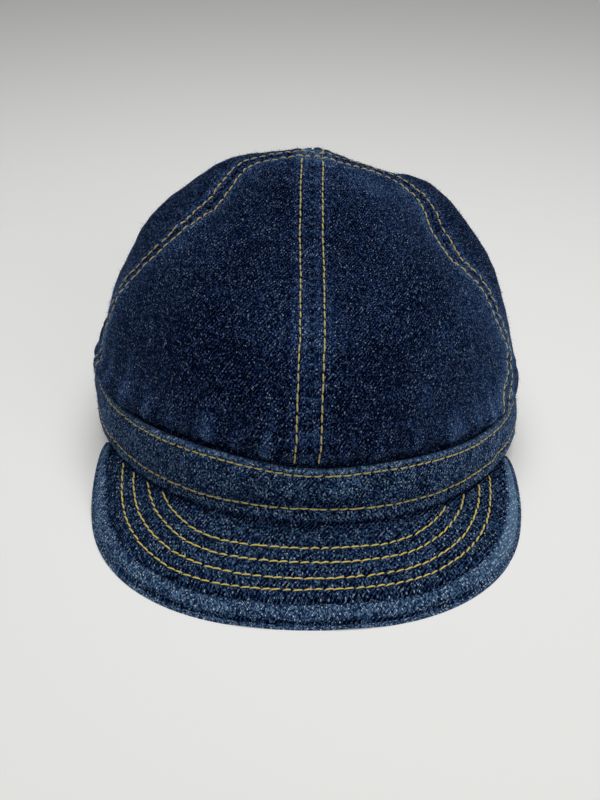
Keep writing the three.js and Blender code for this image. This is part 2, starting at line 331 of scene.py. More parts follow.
headShift = np.array([0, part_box("visor_top")[0].y / mm + 142.6, 0])  # head ring's middle in the frame, mm


def newMesh(name, points, faces, uvName, uv):  # points in mm about the head ring, and a uv for each
    mesh = bpy.data.meshes.new(name)
    mesh.from_pydata(((points + headShift) * mm).tolist(), [], faces)
    corners = np.empty(len(mesh.loops), int)
    mesh.loops.foreach_get("vertex_index", corners)
    layer = mesh.uv_layers.new(name=uvName)
    layer.data.foreach_set("uv", uv[corners].astype(np.float32).ravel())
    return mesh


def newPiece(name, mesh, material):
    mesh.materials.append(material)
    piece = bpy.data.objects.new(name, mesh)
    bpy.context.scene.collection.objects.link(piece)
    return piece


def smoothAll(mesh):
    mesh.polygons.foreach_set("use_smooth", np.ones(len(mesh.polygons), bool))


def clothMesh(name, points, faces, uv, wearAndShading, material):  # uv in mm along the weave, and how pale each point is from 0 to 1: wear, with painted shade and light
    mesh = newMesh(name, points, faces.tolist(), "weave", uv)
    wearShadingLayer = mesh.attributes.new("wearAndShading", "FLOAT", "POINT")
    wearShadingLayer.data.foreach_set("value", wearAndShading.astype(np.float32))
    work = bmesh.new()
    work.from_mesh(mesh)
    bmesh.ops.remove_doubles(work, verts=work.verts, dist=1e-7)
    work.to_mesh(mesh)
    work.free()
    smoothAll(mesh)
    piece = newPiece(name + "_cloth", mesh, material)
    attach(piece, "root")
    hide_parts(name)
    return piece


def linear(code):  # an sRGB colour written as hex, as the renderer's linear values
    parts = [int(code[i:i + 2], 16) / 255 for i in (1, 3, 5)]
    return tuple(p / 12.92 if p <= 0.04045 else ((p + 0.055) / 1.055) ** 2.4 for p in parts) + (1.0,)


def addNode(tree, kind, inputs=None, **settings):
    made = tree.nodes.new(kind)
    for key, value in settings.items():
        setattr(made, key, value)
    for key, value in (inputs or {}).items():
        if isinstance(value, bpy.types.NodeSocket):
            tree.links.new(value, made.inputs[key])
        else:
            made.inputs[key].default_value = value
    return made


def calc(tree, operation, *values, clamp=False):
    inputs = {i: value for i, value in enumerate(values)}
    return addNode(tree, "ShaderNodeMath", inputs, operation=operation, use_clamp=clamp).outputs[0]


def blend(tree, amount, first, second):
    made = addNode(tree, "ShaderNodeMix", data_type="RGBA")
    for socket, value in zip([made.inputs[0], made.inputs[6], made.inputs[7]], [amount, first, second]):
        if isinstance(value, bpy.types.NodeSocket):
            tree.links.new(value, socket)
        else:
            socket.default_value = value
    return made.outputs[2]


def newMaterial(name):
    material = bpy.data.materials.new(name)
    material.use_nodes = True
    tree = material.node_tree
    tree.nodes.clear()
    shader = addNode(tree, "ShaderNodeBsdfPrincipled")
    addNode(tree, "ShaderNodeOutputMaterial", {"Surface": shader.outputs[0]})
    return material, tree, shader


def noiseAt(tree, vector, scale, detail=2.0, roughness=0.5):
    inputs = {"Vector": vector, "Scale": scale, "Detail": detail, "Roughness": roughness}
    return addNode(tree, "ShaderNodeTexNoise", inputs).outputs["Fac"]


def whiteNoise(tree, dimensions, inputs):
    return addNode(tree, "ShaderNodeTexWhiteNoise", inputs, noise_dimensions=dimensions).outputs[0]


def domed(tree, share):  # 0 at a thread's edges and 1 along its middle
    return calc(tree, "MULTIPLY", calc(tree, "MULTIPLY", share, calc(tree, "SUBTRACT", 1.0, share)), 4.0)


def denim(name, look):
    # 3/1 twill: dark ring-dyed warp with a pale weft peeping through every fourth crossing.
    # Gives fine diagonal ribs with salt-and-pepper specks, and rubbed paler ridges. The ribs' tops are
    # painted lighter and their hollows darker as painted shade, and the paleness read from the mesh
    # brings painted shade and painted light along with the wear.
    material, tree, shader = newMaterial(name)
    weave = addNode(tree, "ShaderNodeUVMap", uv_map="weave").outputs[0]
    split = addNode(tree, "ShaderNodeSeparateXYZ", {0: weave})
    wander = noiseAt(tree, weave, 0.16, 2.0)
    u = calc(tree, "ADD", split.outputs[0], calc(tree, "MULTIPLY", wander, 1.2))
    across = calc(tree, "DIVIDE", u, look["warpPitch"])
    along = calc(tree, "DIVIDE", split.outputs[1], look["weftPitch"])
    i, j = calc(tree, "FLOOR", across), calc(tree, "FLOOR", along)
    step = calc(tree, "FLOORED_MODULO", calc(tree, "SUBTRACT", i, j), 4.0)
    weftUp = calc(tree, "LESS_THAN", step, 0.5)
    cell = addNode(tree, "ShaderNodeCombineXYZ", {0: i, 1: j})
    chance = whiteNoise(tree, "2D", {"Vector": cell.outputs[0]})
    pair = calc(tree, "FLOOR", calc(tree, "MULTIPLY", calc(tree, "ADD", i, j), 0.5))
    clumpCell = addNode(tree, "ShaderNodeCombineXYZ", {0: pair, 1: j})
    clump = whiteNoise(tree, "2D", {"Vector": clumpCell.outputs[0]})
    thread = whiteNoise(tree, "1D", {"W": i})
    roundU = domed(tree, calc(tree, "FRACT", across))
    roundV = domed(tree, calc(tree, "FRACT", along))
    streakAt = addNode(tree, "ShaderNodeVectorMath", {0: weave, 1: (2.4, 0.09, 0.0)}, operation="MULTIPLY")
    streak = noiseAt(tree, streakAt.outputs[0], 1.0, 3.0, 0.6)
    patch = noiseAt(tree, weave, 0.05, 4.0, 0.6)
    fine = noiseAt(tree, weave, 0.55, 3.0, 0.65)
    # Painted shade of the twill ribs: lighter along their tops, darker in the hollows where the weft shows.
    ribShading = calc(tree, "COSINE", calc(tree, "MULTIPLY", calc(tree, "SUBTRACT", step, 2.0), math.pi / 2))
    # Paleness from the mesh: wear, with painted shade in creases and grooves and painted light in places.
    wearAndShading = addNode(tree, "ShaderNodeAttribute", attribute_name="wearAndShading").outputs["Fac"]
    paleness = calc(tree, "ADD", wearAndShading, look["base"])
    grain = calc(tree, "POWER", chance, 2.5)
    parts = [(patch, 0.5, "patchy"), (fine, 0.5, "mottle"), (streak, 0.5, "streaky"), (thread, 0.5, "uneven"),
             (grain, 0.29, "grain"), (clump, 0.5, "clumpy"), (ribShading, 0.0, "twill")]
    for value, middle, strength in parts:
        swing = calc(tree, "MULTIPLY", calc(tree, "SUBTRACT", value, middle), look[strength])
        paleness = calc(tree, "ADD", paleness, swing)
    paleness = calc(tree, "MAXIMUM", paleness, 0.0, clamp=True)
    dyed = calc(tree, "DIVIDE", paleness, look["dyedUpTo"], clamp=True)
    past = calc(tree, "SUBTRACT", paleness, look["dyedUpTo"])
    rubbed = calc(tree, "DIVIDE", past, 1 - look["dyedUpTo"], clamp=True)
    unrubbed = blend(tree, dyed, linear(look["deep"]), linear(look["indigo"]))
    warp = blend(tree, rubbed, unrubbed, linear(look["faded"]))
    weftColor = blend(tree, paleness, linear(look["weftDull"]), linear(look["weft"]))
    speck = calc(tree, "ADD", 0.15, calc(tree, "POWER", chance, look["speckRarity"]))
    showing = calc(tree, "MULTIPLY", calc(tree, "MULTIPLY", weftUp, roundV), look["weftShow"])
    showing = calc(tree, "MULTIPLY", showing, speck)
    lintSpeck = calc(tree, "MULTIPLY", calc(tree, "GREATER_THAN", chance, 1 - look["specks"]), 0.8)
    showing = calc(tree, "MAXIMUM", showing, lintSpeck, clamp=True)
    color = blend(tree, showing, warp, weftColor)
    rib = calc(tree, "MULTIPLY", roundU, calc(tree, "SUBTRACT", 1.0, calc(tree, "MULTIPLY", weftUp, 0.8)))
    rib = calc(tree, "ADD", rib, calc(tree, "MULTIPLY", chance, 0.35))
    rib = calc(tree, "ADD", rib, calc(tree, "MULTIPLY", fine, 0.6))
    depth = look["relief"] * mm
    relief = addNode(tree, "ShaderNodeBump", {"Strength": 1.0, "Distance": depth, "Height": rib})
    tree.links.new(color, shader.inputs["Base Color"])
    tree.links.new(relief.outputs[0], shader.inputs["Normal"])
    shader.inputs["Roughness"].default_value = 0.92
    shader.inputs["IOR"].default_value = 1.45
    shader.inputs["Specular IOR Level"].default_value = 0.02
    shader.inputs["Sheen Weight"].default_value = look["sheen"]
    shader.inputs["Sheen Roughness"].default_value = 0.28
    shader.inputs["Sheen Tint"].default_value = linear("#5f8fd6")
    return material


# The thread pitches and the relief are in mm.
denimLook = dict(warpPitch=0.36, weftPitch=0.48, base=0.06, patchy=0.06, mottle=0.17, streaky=0.22,
                 uneven=0.10, grain=0.60, clumpy=0.08, twill=0.03, dyedUpTo=0.30, deep="#01030d",
                 indigo="#0b2050", faded="#5e83a4", weftDull="#3f5e8e", weft="#cddcec", weftShow=0.55,
                 speckRarity=3.0, specks=0.008, relief=0.10, sheen=0.11)
rubbedLook = dict(denimLook, warpPitch=0.40, weftPitch=0.55, weftShow=1.9, speckRarity=2.0, streaky=0.14)
bandLook = dict(rubbedLook, indigo="#0a2156", base=0.09, twill=0.22, grain=1.15)
visorLook = dict(rubbedLook, indigo="#0d204c", base=0.06, twill=0.26, grain=1.10)
crownDenim = denim("denim, indigo 3/1 twill, crown", denimLook)
bandDenim = denim("denim, indigo 3/1 twill, band", bandLook)
visorDenim = denim("denim, indigo 3/1 twill, visor", visorLook)


def threadMaterial(name, look):
    # Two plies of ochre polyester twisted together: slanting ridges along each stitch, painted lighter on
    # their crests and darker between them, a painted highlight and painted shade, with random flecks.
    material, tree, shader = newMaterial(name)
    place = addNode(tree, "ShaderNodeUVMap", uv_map="twist").outputs[0]
    split = addNode(tree, "ShaderNodeSeparateXYZ", {0: place})
    turns = calc(tree, "ADD", calc(tree, "DIVIDE", split.outputs[0], look["twist"]), split.outputs[1])
    ridge = calc(tree, "SINE", calc(tree, "MULTIPLY", turns, 2 * math.pi))
    ridge = calc(tree, "ADD", 0.5, calc(tree, "MULTIPLY", ridge, 0.5))
    fleck = noiseAt(tree, place, 1.7, 3.0)
    # Painted highlight on the twist's crests and painted shade between them, mixed with flecks.
    twistShading, flecked = calc(tree, "MULTIPLY", ridge, 0.45), calc(tree, "MULTIPLY", fleck, 0.55)
    mixed = calc(tree, "ADD", twistShading, flecked, clamp=True)
    color = blend(tree, mixed, linear(look["dark"]), linear(look["light"]))
    relief = addNode(tree, "ShaderNodeBump", {"Strength": 0.7, "Distance": 0.06 * mm, "Height": ridge})
    tree.links.new(color, shader.inputs["Base Color"])
    tree.links.new(relief.outputs[0], shader.inputs["Normal"])
    shader.inputs["Roughness"].default_value = 0.55
    shader.inputs["IOR"].default_value = 1.5
    shader.inputs["Sheen Weight"].default_value = 0.15
    return material


crownThread = threadMaterial("thread, two-ply ochre polyester, rubbed",
                             dict(twist=0.9, dark="#9a8a3e", light="#ebdb90"))
bandThread = threadMaterial("thread, two-ply ochre polyester, a little rubbed",
                            dict(twist=0.9, dark="#ab9642", light="#f0e18c"))
visorThread = threadMaterial("thread, two-ply ochre polyester",
                             dict(twist=0.9, dark="#dabb48", light="#fff08c"))

# Crown: four panels, each a closed wall with its outer and inner face.
crownPieces = [
    dict(node="crown_front_left", start="front", end="left", columns=150),
    dict(node="crown_front_right", start="right", end="front", columns=150),
    dict(node="crown_back_left", start="left", end="back", columns=170),
    dict(node="crown_back_right", start="backRound", end="right", columns=170),
]
crownRows = 165


def evenLevels(rows):  # levels an even step apart up the front of the crown
    level = np.linspace(crownInset["hem"], 0.999, 900)
    run = lengths(smoothFace(np.full(900, 0.5), level))
    return np.interp(np.linspace(0, run[-1], rows + 1), run, level)


def crownPanel(piece):
    level = evenLevels(crownRows)[:, None] * np.ones((1, piece["columns"] + 1))
    t = np.linspace(0, 1, piece["columns"] + 1)
    t = (t - 0.6 * np.sin(2 * np.pi * t) / (2 * np.pi))[None, :]
    lap = cloth["seamLap"] / 2 / np.maximum(follow(rings, "side", level), 2.0)
    start, end = seamAngle(piece["start"], level) - lap, seamAngle(piece["end"], level) + lap
    angle = start + (end - start) * t
    face = crownFace(angle, level)
    soft, fine = crownRelief(face, angle, level)
    normal = outward(angle, level)
    outer = face + normal * (soft + fine)[..., None]
    inner = face + normal * (soft - cloth["crownWall"])[..., None]
    for sheet in (outer, inner):
        sheet[..., 2] -= 2.6 * hangOver(angle, level)
    run = np.linalg.norm(np.diff(face, axis=1), axis=2)
    u = np.concatenate([np.zeros((len(level), 1)), np.cumsum(run, 1)], 1)
    u -= u[:, [0]] if piece["start"] == "front" else u[:, [-1]]
    v = lengths(face[:, piece["columns"] // 2])[:, None] * np.ones_like(u)
    uv = np.stack([u, v], -1).reshape(-1, 2)
    # Paler on gather ridges and raised seam allowances, where the cloth rubs; darker in the hollows beside
    # the gathers and in the seam creases and stitch grooves, as painted shade.
    ridge = np.clip(0.30 * gatherRelief(angle, level) + 0.25 * fine, -0.15, 0.5)
    ridge = ridge + crownWearAndShading(face, angle, level)
    points = np.concatenate([outer.reshape(-1, 3), inner.reshape(-1, 3)])
    wearAndShading = np.concatenate([ridge.ravel(), np.zeros(ridge.size)])
    faces = wallFaces(crownRows, piece["columns"])
    return clothMesh(piece["node"], points, faces, np.concatenate([uv, uv]), wearAndShading, crownDenim)


# Where the crown is paler or darker: degrees from the front, level, how far each reaches round and up,
# and how much paler. Most rows are fading, or dye kept where it hardly rubs; the rows at -77 and 76
# degrees are painted light, lifting the shaded lower sides next to the outline.
fadesAndRimLight = [
    dict(angle=62, level=0.24, wide=15, tall=0.14, pale=0.15),
    dict(angle=60, level=0.17, wide=10, tall=0.04, pale=0.12),
    dict(angle=60, level=0.45, wide=12, tall=0.10, pale=0.14),
    # Painted light on the shaded lower side at the outline, at the wearer's left.
    dict(angle=76, level=0.28, wide=9, tall=0.16, pale=0.30),
    dict(angle=56, level=0.85, wide=22, tall=0.09, pale=0.24),
    dict(angle=70, level=0.68, wide=9, tall=0.12, pale=0.16),
    dict(angle=38, level=0.65, wide=14, tall=0.06, pale=0.10),
    dict(angle=45, level=0.155, wide=18, tall=0.04, pale=0.18),
    dict(angle=30, level=0.24, wide=6, tall=0.06, pale=0.12),
    dict(angle=38, level=0.37, wide=9, tall=0.06, pale=0.08),
    dict(angle=20, level=0.50, wide=9, tall=0.10, pale=0.07),
    dict(angle=0, level=0.42, wide=14, tall=0.08, pale=0.11),
    dict(angle=-20, level=0.48, wide=7, tall=0.05, pale=0.05),
    dict(angle=-50, level=0.17, wide=18, tall=0.045, pale=0.17),
    dict(angle=-24, level=0.145, wide=14, tall=0.03, pale=0.13),
    # Painted light on the shaded lower side at the outline, at the wearer's right.
    dict(angle=-77, level=0.25, wide=10, tall=0.14, pale=0.48),
    dict(angle=-54, level=0.56, wide=9, tall=0.06, pale=0.14),
    dict(angle=-66, level=0.88, wide=14, tall=0.06, pale=0.10),
    dict(angle=-32, level=0.36, wide=13, tall=0.10, pale=-0.11),
    dict(angle=-20, level=0.27, wide=7, tall=0.06, pale=-0.08),
    dict(angle=-28, level=0.58, wide=9, tall=0.06, pale=-0.09),
    dict(angle=-22, level=0.80, wide=12, tall=0.06, pale=-0.14),
    dict(angle=4, level=0.70, wide=16, tall=0.08, pale=-0.08),
    dict(angle=20, level=0.34, wide=6, tall=0.09, pale=-0.11),
]


def crownWearAndShading(face, angle, level):
    # The crown is painted paler towards its top, as light from above.
    total = 0.0 + 0.06 * ease(0.5, 0.95, level)
    for paleRow in fadesAndRimLight:
        turn = (np.degrees(angle) - paleRow["angle"]) / paleRow["wide"]
        total = total + paleRow["pale"] * np.exp(-turn**2 - ((level - paleRow["level"]) / paleRow["tall"]) ** 2)
    for name in seams:
        distance, along = nearLine(face, seamLines[name])
        total = total + 0.08 * bump(distance, 6.5) * (0.6 + 0.5 * cloudNoise(along[..., None], 9, 31))
        # Painted shade: darker along each seam's crease.
        total = total - 0.15 * bump(distance, 0.7)
        if name == "cross":
            total = total + 0.10 * bump(distance - 5.6, 2.4)
        else:  # white tips of the joining stitches, deep in the seam
            total = total + 1.9 * bump(distance, 0.75) * np.clip(wave(along, 4.1) - 0.5, 0, 1)
    return total


# Band: a folded strip with a row of stitches near each edge. up runs from its bottom edge.
bandRows = dict(low=5.1, lessAside=0.6, high=3.0, groove=0.45)
bandSteps, bandCorners = 900, 46


def rounded(share):  # a quarter circle, from 0 up to 1
    return np.sqrt(share * (2 - share))


def bandSection():  # height as a share of the band, and how deep behind its outer face, in mm
    up = np.linspace(0, 1, bandCorners)
    up = up - 0.35 * np.sin(4 * np.pi * up) / (4 * np.pi)
    low, high = np.clip(25 * up / 0.9, 0, 1), np.clip(25 * (1 - up), 0, 1)
    deep = -0.4 * np.sin(np.pi * up) ** 2 + 0.9 * (1 - rounded(low)) + (1 - rounded(high))
    back = [(1.0, 1.5), (0.99, 2.1), (0.965, 2.4), (0.7, 2.4), (0.35, 2.4), (0.04, 2.4), (0.012, 2.2),
            (0.0, 1.7)]
    return np.concatenate([up, [row[0] for row in back]]), np.concatenate([deep, [row[1] for row in back]])


def lowRow(angle):  # height of the band's lower row of stitches
    return bandRows["low"] - bandRows["lessAside"] * ease(15, 45, np.abs(np.degrees(angle)))


def bandFront(angle):  # 1 at the front, where the visor's seam draws the band in
    return ease(1.0, 0.2, np.abs(np.degrees(angle) + 1) / 26)


def bandTall(angle):
    return np.linalg.norm(smoothFace(angle, 0 * angle + bandTop) - smoothFace(angle, 0 * angle), axis=-1)


def bandRelief(angle, height, tall, around):
    low, high = lowRow(angle), tall - bandRows["high"]
    shift = 1.2 * cloudNoise(around[..., None], 26, 41)
    ripple = wave(around, 3.9, shift) + 0.7 * wave(around, 7.1, -shift)
    total = -bandRows["groove"] * (bump(height - low, 0.7) + bump(height - high, 0.7))
    total += 0.16 * ripple * (bump(height - low, 1.9) + 1.2 * bump(height - high - 1.0, 2.0))
    slope = around - 0.5 * height
    total += 0.28 * cloudNoise(np.stack([slope, 0.35 * height], -1), 17, 43) * bump(height - tall / 2, 8)
    hollow = bandFront(angle)
    total -= 0.9 * hollow * bump(height - low - 1.9, 1.5)
    total += 0.35 * hollow * bump(height - low - 6.0, 3.2)
    return total


def makeBand():
    angle = np.linspace(-math.pi, math.pi, bandSteps, endpoint=False)[:, None]
    up, deep = bandSection()
    level = (up * bandTop)[None, :] * np.ones_like(angle)
    angle = angle * np.ones_like(level)
    tall = bandTall(angle)
    foot = smoothFace(angle[:, 0], 0 * angle[:, 0])
    around = lengths(foot)[:, None] * np.ones_like(level)
    around -= around[bandSteps // 2, 0]
    height = up[None, :] * tall
    relief = bandRelief(angle, height, tall, around)
    outerSide = np.zeros_like(level)
    outerSide[:, :bandCorners] = 1
    inset = deep[None, :] - relief * outerSide
    points = smoothFace(angle, level) - outward(angle, level) * inset[..., None]
    points[..., 2] = np.maximum(points[..., 2], 0)
    turned = np.where(height < lowRow(angle), -1, 1) * np.where(outerSide > 0, 1, -1)
    uv = np.stack([around * turned, height], -1).reshape(-1, 2)
    # The band's edges: paler along the rubbed top fold and lower fold; darker along the bottom edge over the
    # visor, which is painted shade.
    edge = 0.38 * bump((tall - height) / 2.2, 1) + 0.12 * bump(height - 1.8, 1.2) - 0.4 * bump(height, 0.7)
    sides = (0.205 + 0.035 * np.sin(angle)) * ease(34, 70, np.abs(np.degrees(angle)))
    shaded = 0.20 * bandFront(angle) * bump(height - lowRow(angle) - 3.2, 3.2)
    tips = np.clip(wave(around, 2.9, 0.8 * cloudNoise(around[..., None], 9, 44)) - 0.5, 0, 1)
    edge += 1.3 * tips * bump(tall - height - 0.9, 0.7) * (1 - ease(20, 50, np.abs(np.degrees(angle))))
    # Paler where rubbed; darker in the stitch grooves, the front hollow and below it, all painted shade.
    wearAndShading = (0.09 + 0.3 * np.clip(relief, -0.4, 0.5) + edge + sides - shaded) * outerSide
    count = len(up)
    step, corner = np.meshgrid(np.arange(bandSteps), np.arange(count), indexing="ij")
    nextStep, above = (step + 1) % bandSteps, (corner + 1) % count
    here, there = step * count, nextStep * count
    faces = np.stack([here + corner, there + corner, there + above, here + above], -1).reshape(-1, 4)
    return clothMesh("band", points.reshape(-1, 3), faces, uv, wearAndShading.ravel(), bandDenim)


# Visor: seen from above it fills a rounded outline about a pivot behind the band's front.
visor = dict(pivot=-38, halfWidth=85.3, widest=-58, ahead=84.6, behind=56, roundness=2.36, end=86,
             tuck=1.7, drop=0.6, arch=1.6, padding=1.9, hem=1.25, lip=0.15, rim=0.5, borderFrom=8.0,
             borderTo=10.2, liftFrom=60, liftTo=85, rolledIn=1.0)

# Its four rows of stitches: mm in from the outer edge, at the cap's right, at the front and so on.
visorTurns = [-62, -30, 0, 30, 62]
borderTurns = [-80, -62, -30, 0, 30, 62, 80]
borderWide = [5.0, 6.8, 7.6, 7.9, 7.6, 6.8, 5.0]  # in to the ridge where the top cloth is turned
visorRows = [
    [29.0, 27.6, 28.1, 28.6, 29.4],
    [23.9, 22.1, 22.4, 22.9, 24.2],
    [17.8, 16.3, 16.4, 16.8, 17.9],
    [12.8, 10.8, 12.3, 12.3, 13.0],
]


def outlineReach(turn):
    near, far = np.zeros_like(turn), np.full_like(turn, 2.0 * visor["halfWidth"])
    for halving in range(40):
        middle = (near + far) / 2
        ahead = visor["widest"] - visor["pivot"] + middle * np.cos(turn)
        along = np.abs(ahead) / np.where(ahead > 0, visor["ahead"], visor["behind"])
        across = np.abs(middle * np.sin(turn)) / visor["halfWidth"]
        inside = across ** visor["roundness"] + along ** visor["roundness"] < 1
        near, far = np.where(inside, middle, near), np.where(inside, far, middle)
    return near


def ringReach(turn):
    sx, sy = np.sin(turn) / rings[0]["side"], np.cos(turn) / rings[0]["front"]
    push = visor["pivot"] / rings[0]["front"]
    a, b = sx**2 + sy**2, -push * sy
    return (np.sqrt(b * b - a * (push * push - 1)) - b) / a


def visorMiddle(turn, reach):  # the middle sheet of the visor, so far from the pivot
    outer, inner = outlineReach(turn), ringReach(turn) - visor["tuck"]
    fraction = (outer - reach) / (outer - inner)
    low, front = heights[0], rings[0]["front"]

    def place(r):
        return r * np.sin(turn), visor["pivot"] - r * np.cos(turn)

    x, y = place(inner)
    edge = low["zSide"] + (low["zFront"] - low["zSide"]) * (y / front) ** 2 - sag["band"] * x / sag["reach"]
    edge = edge - depthFrom(bandPulls, np.arctan2(x / rings[0]["side"], -y / front), 0)
    root = edge - visor["drop"] - visor["padding"]
    lifted = ease(math.radians(visor["liftFrom"]), math.radians(visor["liftTo"]), np.abs(turn))
    rim = visor["rim"] + (root - visor["rim"]) * lifted
    arch = 4 * visor["arch"] * (1 - lifted) * fraction * (1 - fraction)
    x, y = place(reach)
    return np.stack([x, y, rim + (root - rim) * fraction + arch], -1)


def rowDistance(row, turn):
    return np.interp(np.degrees(turn), visorTurns, row)


def borderWidth(turn):
    return np.interp(np.degrees(turn), borderTurns, borderWide)


def visorHalf(fromEdge):
    t = np.clip(fromEdge / 1.6, 0, 1)
    hem = visor["lip"] + (visor["hem"] - visor["lip"]) * rounded(t)
    return hem + (visor["padding"] - hem) * ease(visor["borderFrom"], visor["borderTo"], fromEdge)


def visorRelief(turn, fromEdge, around):
    shift = 1.3 * cloudNoise(around[..., None], 23, 51)
    pucker = wave(around, 3.9, shift) + 0.8 * wave(around, 8.3, -1.4 * shift)
    rope = wave(around + 0.5 * fromEdge, 7.4, 1.8 * shift) + 0.6 * wave(around, 4.6, shift)
    total = np.zeros_like(fromEdge)
    for row in visorRows:
        away = fromEdge - rowDistance(row, turn)
        total -= 0.5 * bump(away, 0.75)
        total += 0.12 * pucker * bump(away, 2.0)
    front = 1 - ease(25, 60, np.abs(np.degrees(turn)))
    roll = fromEdge - borderWidth(turn)
    total += 0.2 * rope * bump(fromEdge - 3.8, 3.2)
    total += 0.35 * bump(roll + 2.6, 2.4)
    total -= (0.3 + 0.45 * front + 0.12 * pucker) * bump(roll, 0.6 + 0.4 * (1 - front))
    total += 0.16 * bump(roll - 1.6, 1.1)
    return total


visorSteps = 300


def visorDistances():  # distances in from the outer edge, closer together at the rolled edge
    return np.concatenate([[0, 0.08, 0.2, 0.4, 0.65, 1.0, 1.35, 1.7, 2.1], np.arange(2.5, 60, 0.42)])


def visorCloth(node, side, proud):
    end = math.radians(visor["end"])
    turn = np.linspace(-end, end, visorSteps + 1)
    outer, inner = outlineReach(turn), ringReach(turn) - visor["tuck"]
    wanted = visorDistances()
    depth = outer - inner
    wanted = np.append(wanted[wanted < depth.max() - 0.2], depth.max())
    fromEdge = np.minimum(wanted[None, :], depth[:, None])
    angle = turn[:, None] * np.ones_like(fromEdge)
    aside = np.abs(np.degrees(angle))
    reach = outer[:, None] - fromEdge - (visor["rolledIn"] * (1 - ease(0, 4, fromEdge)) if side > 0 else 0)
    reach = reach - 1.5 * ease(66, 84, aside) * (1 - ease(0, 9, fromEdge))  # ends eased in at the band
    edge = np.stack([outer * np.sin(turn), visor["pivot"] - outer * np.cos(turn)], -1)
    around = lengths(edge)[:, None] * np.ones_like(fromEdge)
    around -= around[visorSteps // 2, 0]
    middle = visorMiddle(angle, reach)
    relief = visorRelief(angle, fromEdge, around) if side > 0 else -0.2 * bump(fromEdge - 2.6, 0.8)
    soft = 0.2 * cloudNoise(middle, 26, 53)
    face = middle.copy()
    face[..., 2] += side * (visorHalf(fromEdge) + relief) + soft
    back = middle.copy()
    back[..., 2] += side * 0.08 + soft * ease(2, 8, fromEdge)
    if side > 0:  # sewn up against the band's underside
        face[..., 2] += 1.2 * (1 - ease(0.2, 0.9, depth[:, None] - fromEdge))
    if proud:
        push = proud * (1 - ease(0, 3, fromEdge))
        for sheet in (face, back):
            sheet[..., 0] += push * np.sin(angle)
            sheet[..., 1] -= push * np.cos(angle)
    for sheet in (face, back):
        sheet[..., 2] = np.maximum(sheet[..., 2], 0)
    turnedOver = ease(0, 1, 1 - fromEdge / 1.7) * 1.3  # extra cloth where the edge is rolled over
    u = middle[..., 0] + turnedOver * np.sin(angle)
    v = middle[..., 1] - turnedOver * np.cos(angle)
    uv = np.stack([u, v], -1).reshape(-1, 2)
    ridge = borderWidth(angle)
    aside = ease(25, 65, aside)
    border = 1 - ease(ridge - 1.8 - 1.2 * aside, ridge - 0.3 + 1.2 * aside, fromEdge)
    faded = 0.31 + aside * (0.12 + 0.40 * ease(5, 40, np.degrees(angle)))  # most at the wearer's left
    # Paler on the faded border and the puckers; darker in the stitch grooves and the border's crease, which
    # is painted shade.
    wearAndShading = 0.01 + faded * border + 0.3 * np.clip(relief, -0.5, 0.6)
    # Painted shadow along the rolled front edge; paler near the edge at the sides, where it rubs.
    wearAndShading = wearAndShading - 0.5 * (1 - aside) * bump(fromEdge - 0.2, 0.9) + 0.16 * aside * bump(fromEdge - 0.9, 1.3)
    # Painted shadow where the visor meets the band; darker just inside the border ridge.
    wearAndShading = wearAndShading - 0.10 * bump(fromEdge - ridge - 1.5, 1.6) - 0.3 * bump(depth[:, None] - fromEdge - 1.6, 1.3)
    wearAndShading = wearAndShading if side > 0 else 0 * wearAndShading + 0.42
    rows, columns = visorSteps, len(wanted) - 1
    outside, inside = (face, back) if side > 0 else (back, face)
    points = np.concatenate([outside.reshape(-1, 3), inside.reshape(-1, 3)])
    hidden = (0.45 * bump(fromEdge, 2.0)).ravel() if side < 0 else np.zeros(wearAndShading.size)
    wearAndShading = np.concatenate([wearAndShading.ravel(), hidden] if side > 0 else [hidden, wearAndShading.ravel()])
    faces = wallFaces(rows, columns)
    return clothMesh(node, points, faces, np.concatenate([uv, uv]), wearAndShading, visorDenim)


crown = [crownPanel(piece) for piece in crownPieces]
print("crown sewn from", len(crown), "panels")
band = makeBand()
print("band folded,", len(band.data.polygons), "faces")
visorTop = visorCloth("visor_top", 1, 0.0)
visorCloth("visor_under", -1, 0.45)
print("visor laid up from two cloths")


def treeOf(piece):
    return BVHTree.FromObject(piece, bpy.context.evaluated_depsgraph_get())


def drop(trees, point, normal):  # where a needle coming straight in meets the cloth
    start = Vector(((point + headShift + 6 * normal) * mm).tolist())
    into = Vector((-normal).tolist())
    best = None
    for tree in trees:
        hit, _, _, reach = tree.ray_cast(start, into, 14 * mm)
        if hit is not None and (best is None or reach < best[1]):
            best = (np.array(hit) / mm - headShift, reach)
    return None if best is None else best[0]


stitchRings, stitchSides = 7, 6


